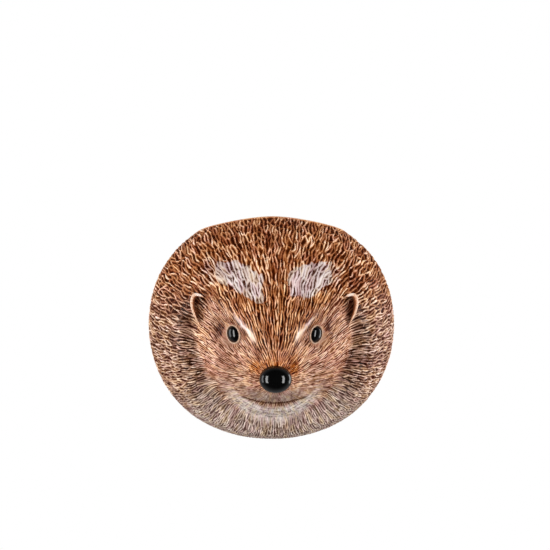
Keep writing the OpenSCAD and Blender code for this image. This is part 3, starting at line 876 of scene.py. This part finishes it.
# the painted reflection's edges follow whole strokes, and beside the patches it lies faintly on the ridges
patch = weights["paintedSheen"] - 0.5 + outlines["tornShare"] * (tagged - 0.5)
weights["paintedSheen"] = np.maximum(ease(patch / outlines["tornSoft"] + 0.5),
                              weights["faint"] * rising(ridge, *outlines["faintRidge"]))
plainer = sum(relief["plain" + zone.title()] * weights[zone] for zone in ("eye", "lip", "jaw", "streak"))
smooth = np.clip(1 - plainer, 0, 1) * rising(a, *relief["noseEdge"])
smooth = smooth * np.where(atMouth, rising(ends - a, *relief["rimEdge"]), 1)
folds = creases(bare)
height = ridge * smooth + (1 - smooth) * relief["plainHeight"] - folds * weights["jaw"]
dents = relief["swell"] * smooth * mottle(bare, *relief["swellSpots"])
sink = relief["settle"] + deep * (1 - height + dents)
carved = plain - sink[..., None] * calm
shading = gridNormals(carved)
shading[0] = noseWay
speckled = np.clip(weights["lip"] + weights["jaw"] + relief["speckleSnout"] * weights["snout"], 0, 1)
tone = (ridge * smooth + (1 - smooth) * relief["plainTone"] + relief["hueTone"] * (tagged - 0.5)
        + speckled * mottle(bare, *relief["speckle"]) - relief["creaseTone"] * folds * weights["jaw"] ** 2)

ears = dict(
    gap=92, up=9.5, width=9, height=14, low=1.45, slope=0.3,  # apart, middle's height, size, lower half, lean
    topPower=0.8, footPower=1.3,  # how square the outline is above, and how pointed below
    out=8, flare=1.4, thick=1.6, sunk=1,  # height over the skin, opening, thickness, root in the skin
    start=-85, end=120, fade=0.6,  # angles at which the ear begins and ends, and how steeply it rises there
    rows=121, columns=61, endGap=0.004,  # grid, and how far from start and end it stops
    wallShare=0.4,  # share of the columns that one side takes
    rimGrow=1.6, rimLeast=0.25,  # how fast the rim gets its thickness, and what it has from the start
    tipFrom=(0.66, 0.12), tipTo=(0.84, 0.1), tipUp=(0.6, 0.35),  # pale tip, painted highlight: along the ear, and up
    hollowX=(45.5, 2), hollowIn=0.5, hollowDown=1.5, hollowTall=0.5, hollowEdge=(0.6, 0.4))  # painted shade in the seat
# the skin in the seat of each ear, darker there as painted shade of the cup
x = np.abs(bare[..., 0])
seat = oval(x, bare[..., 2], (ears["gap"] / 2, ears["width"] / 2 - ears["hollowIn"]),
            (ears["up"] - ears["hollowDown"], ears["height"] / 2 + ears["hollowTall"]))
weights["hollow"] = falling(seat, *ears["hollowEdge"]) * rising(x, *ears["hollowX"])
values = {name: weights[name] for name, stops in zones[1:]}
values["carve"] = np.clip(tone, 0, 1)
values["calm"] = calm
values["hue"] = tagged
values["gloss"] = np.clip(weights["paintedSheen"] + relief["streakGloss"] * weights["streak"], 0, 1)

columns, faceRows = len(about), skinGrid["faceRows"]
faceCuts = [0, columns // 2, columns]
for name, firstCol, lastCol in zip(("faceOne", "faceTwo"), faceCuts, faceCuts[1:]):
    addSheet(name, carved, "face", faceGlaze, (0, faceRows), (firstCol, lastCol),
             startPole=True, normals=shading, values=values)
bodyCuts = [columns * cut // 4 for cut in range(5)]
bodyNames = ("spinesOne", "spinesTwo", "spinesThree", "spinesFour")
for name, firstCol, lastCol in zip(bodyNames, bodyCuts, bodyCuts[1:]):
    addSheet(name, carved, "body_shell", spineGlaze, (faceRows, carved.shape[0] - 1),
             (firstCol, lastCol), normals=shading, values=values)
print("carved skin: pieces made")

rim = dict(
    cornerFade=10, leastForward=0.2,  # degrees from the back wall over which the rim rounds off, and a limit
    clear=0.1,  # how far the lining reaches into the back wall
    glazeEdge=(0.25, 0.5))  # share of the way over the rim at which its brown band fades


def lipPoint(s):
    # from the skin over to the inside, bulging along the skin by sin(180 s) of half the clay's thickness,
    # and beside the back wall running on along the skin until it meets the wall
    out, within = carved[-1], inside(ends, about)
    forward = unit(plain[-1] - plain[-3])
    near = np.where(atMouth, falling(frontEnd - mouthEnd, 0, rim["cornerFade"]), 1)
    bulge = (1 - near) * sind(180 * s) * body["clay"] / 2
    run = near * s * (-body["backThick"] - within[:, 1]) / np.maximum(rim["leastForward"], forward[:, 1])
    return out + s * (within - out) + (bulge + run)[:, None] * forward


lip = [lipPoint(s) for s in np.linspace(0, 1, skinGrid["lipRows"] + 1)]
well = [inside(s * ends, about) for s in np.linspace(1, 0, skinGrid["insideRows"] + 1)]
lining = np.stack(lip + well[1:-1])
lining[..., 1] = np.minimum(lining[..., 1], rim["clear"] - body["backThick"])
middle = np.broadcast_to(lining[-1].mean(0), (1, columns, 3))
lining = np.concatenate([middle, lining[::-1]])
lipShare = np.concatenate([np.ones(skinGrid["insideRows"]), np.linspace(1, 0, skinGrid["lipRows"] + 1)])
brown = np.broadcast_to(falling(lipShare, *rim["glazeEdge"])[:, None], lining.shape[:2])
addSheet("lining", lining, "body_shell", liningGlaze, wrap=True, startPole=True,
         values={"rim": brown}, flip=True)
print("lip and inside made")

plate = dict(
    columns=360, rows=72, inset=0.02,  # grid, and both flat faces set in
    holeRound=0.6, sideRound=0.7, sideIn=0.1, frontIn=0.7, backIn=0.8)  # bevels at the hole and at the side


def plateEdge(t, level):
    # the round cut by the plane y = level * rear - ringOut: half axes * (cos t, sin t) * the share left there
    c, s = np.cos(t), np.sin(t)
    share = np.sqrt(1 - level ** 2)
    more = 1 + body["fill"] / body["drop"] * (2 * share ** 2 * c * s) ** 2
    tall = np.where(s > 0, body["rise"], body["drop"])
    return np.stack([halfWidth * c, 0 * t, tall * s], -1) * (share * more)[:, None]


def plateRings(t, count):
    # the back: hole, flat front, slanted side and flat wall face, as rings from the hole round to the hole
    hole = np.stack([np.cos(t), 0 * t, np.sin(t)], -1) * body["holeWidth"] / 2
    holeAt, middle = np.array([0, 0, -lift]), np.zeros(3)
    ahead, behind = plateEdge(t, frontLevel), plateEdge(t, body["ringOut"] / body["rear"])
    front, back = plate["inset"] - body["backThick"], -plate["inset"]
    h, r = plate["holeRound"], plate["sideRound"]
    stops = [  # ring, its middle, how far it grows, and y
        (hole, holeAt, 0, front + h), (hole, holeAt, h, front),
        (ahead, middle, -plate["frontIn"], front), (ahead, middle, -plate["sideIn"], front + r),
        (behind, middle, -plate["sideIn"], back - r), (behind, middle, -plate["backIn"], back),
        (hole, holeAt, h, back), (hole, holeAt, 0, back - h), (hole, holeAt, 0, front + h)]
    rings = np.stack([ring + grow * unit(ring) + centre + [0, y, 0] for ring, centre, grow, y in stops])
    places = np.linspace(0, len(stops) - 1, count, endpoint=False)
    low = places.astype(int)
    part = (places - low)[:, None, None]
    return rings[low] * (1 - part) + rings[low + 1] * part


turns = np.linspace(0, 2 * np.pi, plate["columns"], endpoint=False)
addSheet("backWall", plateRings(turns, plate["rows"]), "back_wall", creamGlaze,
         wrap=True, wrapRows=True)
print("back wall made")


def bead(radius, halfThick, steps=96):
    # ellipsoid about Z: radius * cos v round, halfThick * sin v up
    v, u = np.meshgrid(np.linspace(-np.pi / 2, np.pi / 2, steps // 2 + 1),
                       np.linspace(0, 2 * np.pi, steps, endpoint=False), indexing="ij")
    r = radius * np.cos(v)
    return np.stack([r * np.cos(u), r * np.sin(u), halfThick * np.sin(v)], -1)


def hoop(radius, tube, steps=128, tubeSteps=32):
    # torus about Z: (radius + tube * cos v) round, tube * sin v up
    v, u = np.meshgrid(np.linspace(0, 2 * np.pi, tubeSteps, endpoint=False),
                       np.linspace(0, 2 * np.pi, steps, endpoint=False), indexing="ij")
    r = radius + tube * np.cos(v)
    return np.stack([r * np.cos(u), r * np.sin(u), tube * np.sin(v)], -1)


def turned(points, axis, angle):
    # turned about the axis 0, 1 or 2: i * cos - j * sin and i * sin + j * cos of the two others
    c, s = cosd(angle), sind(angle)
    i, j = [(1, 2), (2, 0), (0, 1)][axis]
    out = points.copy()
    out[..., i] = c * points[..., i] - s * points[..., j]
    out[..., j] = s * points[..., i] + c * points[..., j]
    return out


def atEye(points, side):
    # from upright at the origin to the eye of that side, -1 or 1
    out = turned(turned(points, 0, 90 - eyes["look"]), 2, eyes["turn"]) + eyeMiddle
    return out * [side, 1, 1]


nose = dict(width=20, height=17, setBack=0.01, steps=160)
noseMiddle = skin(np.array(0.0), np.array(0.0)) + [0, nose["setBack"], 0]
noseBead = turned(bead(nose["height"] / 2, nose["width"] / 2, nose["steps"]), 1, 90) + noseMiddle
addSheet("noseBead", noseBead, "nose", blackGlaze,
         wrap=True, startPole=True, endPole=True, flip=True)
eyeBead = bead(eyes["width"] / 2, eyes["thick"] / 2)
lidHoop = hoop(eyes["width"] / 2 + eyes["fit"] + eyes["lid"] / 2, eyes["lid"] / 2)
for side, mark in ((-1, "left"), (1, "right")):
    addSheet("eye_" + mark + ".look", atEye(eyeBead, side), "eye_" + mark, blackGlaze,
             wrap=True, startPole=True, endPole=True, flip=side > 0)
    addSheet("eyelid_" + mark + ".look", atEye(lidHoop, side), "eyelid_" + mark, lidGlaze,
             wrap=True, wrapRows=True, flip=side > 0)


def earOutline(angle, inset, flare):
    # a squared oval above and a pointed one below, half axes * |cos|^n and |sin|^n, leaning to the side
    c, s = cosd(angle), sind(angle)
    power = np.where(s > 0, ears["topPower"], ears["footPower"])
    tall = np.where(s > 0, 1, ears["low"]) * ears["height"] / 2
    x = (ears["width"] / 2 - inset + flare) * np.sign(c) * np.abs(c) ** power
    z = (tall - inset + flare) * np.sign(s) * np.abs(s) ** power
    return ears["gap"] / 2 + x, ears["up"] + z + ears["slope"] * x


def earShell(t, s):
    # a cup's wall: its root follows the outline on the skin from start to end, grows out by sin(180 t)^fade,
    # flares as it grows, and turns over a round rim half its thickness in radius
    t, s = np.meshgrid(t, s, indexing="ij")
    grow = sind(180 * t) ** ears["fade"]
    cap, share = ears["thick"] / 2, ears["wallShare"]
    climb = np.minimum(np.minimum(s, 1 - s) / share, 1)
    over = np.clip((s - share) / (1 - 2 * share), 0, 1) * 180
    level = climb * (ears["out"] - cap + ears["sunk"]) - ears["sunk"] + cap * sind(over)
    rise = np.clip(level / ears["out"], 0, 1)
    inset = cap * (1 - cosd(over)) * np.clip(grow * ears["rimGrow"], ears["rimLeast"], 1)
    angle = ears["start"] + t * (ears["end"] - ears["start"])
    rootX, rootZ = earOutline(angle, inset, 0)
    x, z = earOutline(angle, inset, rise * ears["flare"] * grow)
    y = skinAt(rootX, rootZ)[..., 1] - np.where(level > 0, level * grow, level)
    # the pale tip: a painted highlight on the top of the rim
    tip = rising(t, *ears["tipFrom"]) * falling(t, *ears["tipTo"]) * rising(rise, *ears["tipUp"])
    return np.stack([x, y, z], -1), {"rise": rise, "within": (s > 0.5).astype(float), "tip": tip}


earTones = dict(
    # from root to rim, darker at the root as painted shade of the cup; the tip is a painted highlight
    outer=[(0.2, 104, 60, 38), (0.7, 150, 102, 76), (0.9, 196, 146, 116), (1.0, 230, 192, 164)],
    within=[(0.1, 84, 36, 14), (0.6, 156, 92, 54), (0.92, 184, 122, 84), (1.0, 224, 180, 148)],
    tip=(232, 212, 196), grain=0.9, grainShare=0.3)


def earGlaze():
    # both sides darker at the root than at the rim as painted shade of the cup, scattered by a fine noise,
    # with a pale tip of painted highlight
    material, tree = newMaterial("earGlaze")
    grain = noise(tree, earTones["grain"], 3.0)
    height = measured(tree, "MULTIPLY_ADD", grain, earTones["grainShare"], reading(tree, "rise"))
    height = measured(tree, "SUBTRACT", height, earTones["grainShare"] / 2)
    outer, within = ramp(tree, height, earTones["outer"]), ramp(tree, height, earTones["within"])
    sides = blend(tree, reading(tree, "within"), outer, within)
    tone = blend(tree, reading(tree, "tip"), sides, tint(*earTones["tip"]))
    addShader(tree, {"Base Color": tone, "Roughness": 0.45, "Coat Weight": 0.6, "Coat Roughness": 0.14,
                     "Normal": bump(tree, 0.4, 1.0, (1, 1, 0.3))})
    return material


def capped(grid):
    # a row more at both ends, all at the mean of the row beside it, for the poles that close the ear
    first, last = [np.broadcast_to(row.mean(0), row.shape)[None] for row in (grid[0], grid[-1])]
    return np.concatenate([first, grid, last])


earClay = earGlaze()
earPoints, earValues = earShell(np.linspace(ears["endGap"], 1 - ears["endGap"], ears["rows"]),
                                np.linspace(0, 1, ears["columns"]))
earPoints = capped(earPoints)
earValues = {key: capped(value) for key, value in earValues.items()}
for side, mark in ((-1, "left"), (1, "right")):
    addSheet("ear_" + mark + ".look", earPoints * [side, 1, 1], "ear_" + mark, earClay,
             wrap=True, startPole=True, endPole=True, values=earValues, flip=side < 0)
print("nose, eyes and ears made")

studio = dict(
    distance=2.2, frameWide=0.3451, azimuth=-2.2, elevation=-1.5,  # the camera, and metres that it sees
    axisX=0.0022, axisUp=0.0301,  # middle of its view, to the right of the body's middle and above it
    lampAt=(0, -0.06),  # x and y of the place that the lights stand round
    backLight=(0.02, 0.3), backTurn=(-0.35, 0.5),  # light that shiny clay mirrors, from in front to behind
    softLight=0.5,  # light on all sides of matt clay
    floorDrop=0.7, floorWide=0.12, floorAt=-0.05, floorSides=96)
lights = [
    # azimuth from the front, elevation, distance, width, height, radiance
    ("crownLeft", -49, 41, 1.5, 0.6, 0.5, 3.2),
    ("crownRight", 53, 41, 1.5, 0.6, 0.5, 3.2),
    ("keyLeft", -58, -3, 1.5, 0.42, 1.5, 8.0),
    ("keyRight", 50, -3, 1.5, 0.42, 1.5, 8.0),
    ("sideLeft", -97, 0, 1.5, 0.5, 1.2, 2.4),
    ("sideRight", 114, 0, 1.5, 0.5, 1.2, 3.4),
]
scene = bpy.context.scene


def wayTo(azimuth, elevation):
    # azimuth 0 looks from the front, positive from the right
    return Vector((sind(azimuth) * cosd(elevation), -cosd(azimuth) * cosd(elevation), sind(elevation)))


def stand(name, data, middle, distance, azimuth, elevation):
    # puts a light or a camera at that distance from the middle, looking at it
    thing = bpy.data.objects.new(name, data)
    thing.location = middle + distance * wayTo(azimuth, elevation)
    thing.rotation_euler = wayTo(azimuth, elevation).to_track_quat("Z", "Y").to_euler()
    bpy.context.collection.objects.link(thing)
    return thing


for name, azimuth, elevation, distance, across, tall, radiance in lights:
    lamp = bpy.data.lights.new(name, "AREA")
    lamp.shape = "RECTANGLE"
    lamp.size, lamp.size_y = across, tall
    lamp.energy = radiance * np.pi * across * tall
    thing = stand(name, lamp, Vector((*studio["lampAt"], lift / 1000)), distance, azimuth, elevation)
    thing.visible_camera = False
    thing.visible_glossy = not name.startswith("crown")

world = bpy.data.worlds.new("studio")
world.use_nodes = True
scene.world = world
tree = world.node_tree
tree.nodes.clear()
split = addNode(tree, "SeparateXYZ", {0: addNode(tree, "TexCoord").outputs["Generated"]})
low, high = studio["backTurn"]
least, most = studio["backLight"]
toBack = addNode(tree, "MapRange", {"Value": split.outputs["Y"], "From Min": low, "From Max": high,
                                    "To Min": least, "To Max": most}, interpolation_type="SMOOTHSTEP")
path = addNode(tree, "LightPath")
soft = blendNumbers(tree, path.outputs["Is Diffuse Ray"], toBack.outputs[0], studio["softLight"])
strength = blendNumbers(tree, path.outputs["Is Camera Ray"], soft, 1.0)
sky = addNode(tree, "Background", {"Color": (1, 1, 1, 1), "Strength": strength})
addNode(tree, "OutputWorld", {"Surface": sky.outputs[0]})

camera = bpy.data.cameras.new("camera")
camera.sensor_width = 36
camera.lens = camera.sensor_width * studio["distance"] / studio["frameWide"]
target = Vector((studio["axisX"], -body["ringOut"] / 1000, lift / 1000 + studio["axisUp"]))
scene.camera = stand("camera", camera, target, studio["distance"], studio["azimuth"], studio["elevation"])
scene.view_settings.view_transform = "Standard"

floorMesh = bpy.data.meshes.new("floor")
sides = studio["floorSides"]
t = np.linspace(0, 2 * np.pi, sides, endpoint=False)
disc = np.stack([np.cos(t) * studio["floorWide"], np.sin(t) * studio["floorWide"] + studio["floorAt"],
                 np.full(sides, lift / 1000 - studio["floorDrop"])], -1)
floorMesh.from_pydata(disc.tolist(), [], [list(range(sides))])
floorPaint, tree = newMaterial("floorPaint")
addShader(tree, {"Base Color": (0.9, 0.9, 0.9, 1), "Roughness": 0.9})
floorMesh.materials.append(floorPaint)
floor = bpy.data.objects.new("floor", floorMesh)
bpy.context.collection.objects.link(floor)
floor.visible_glossy = False

print("studio set")
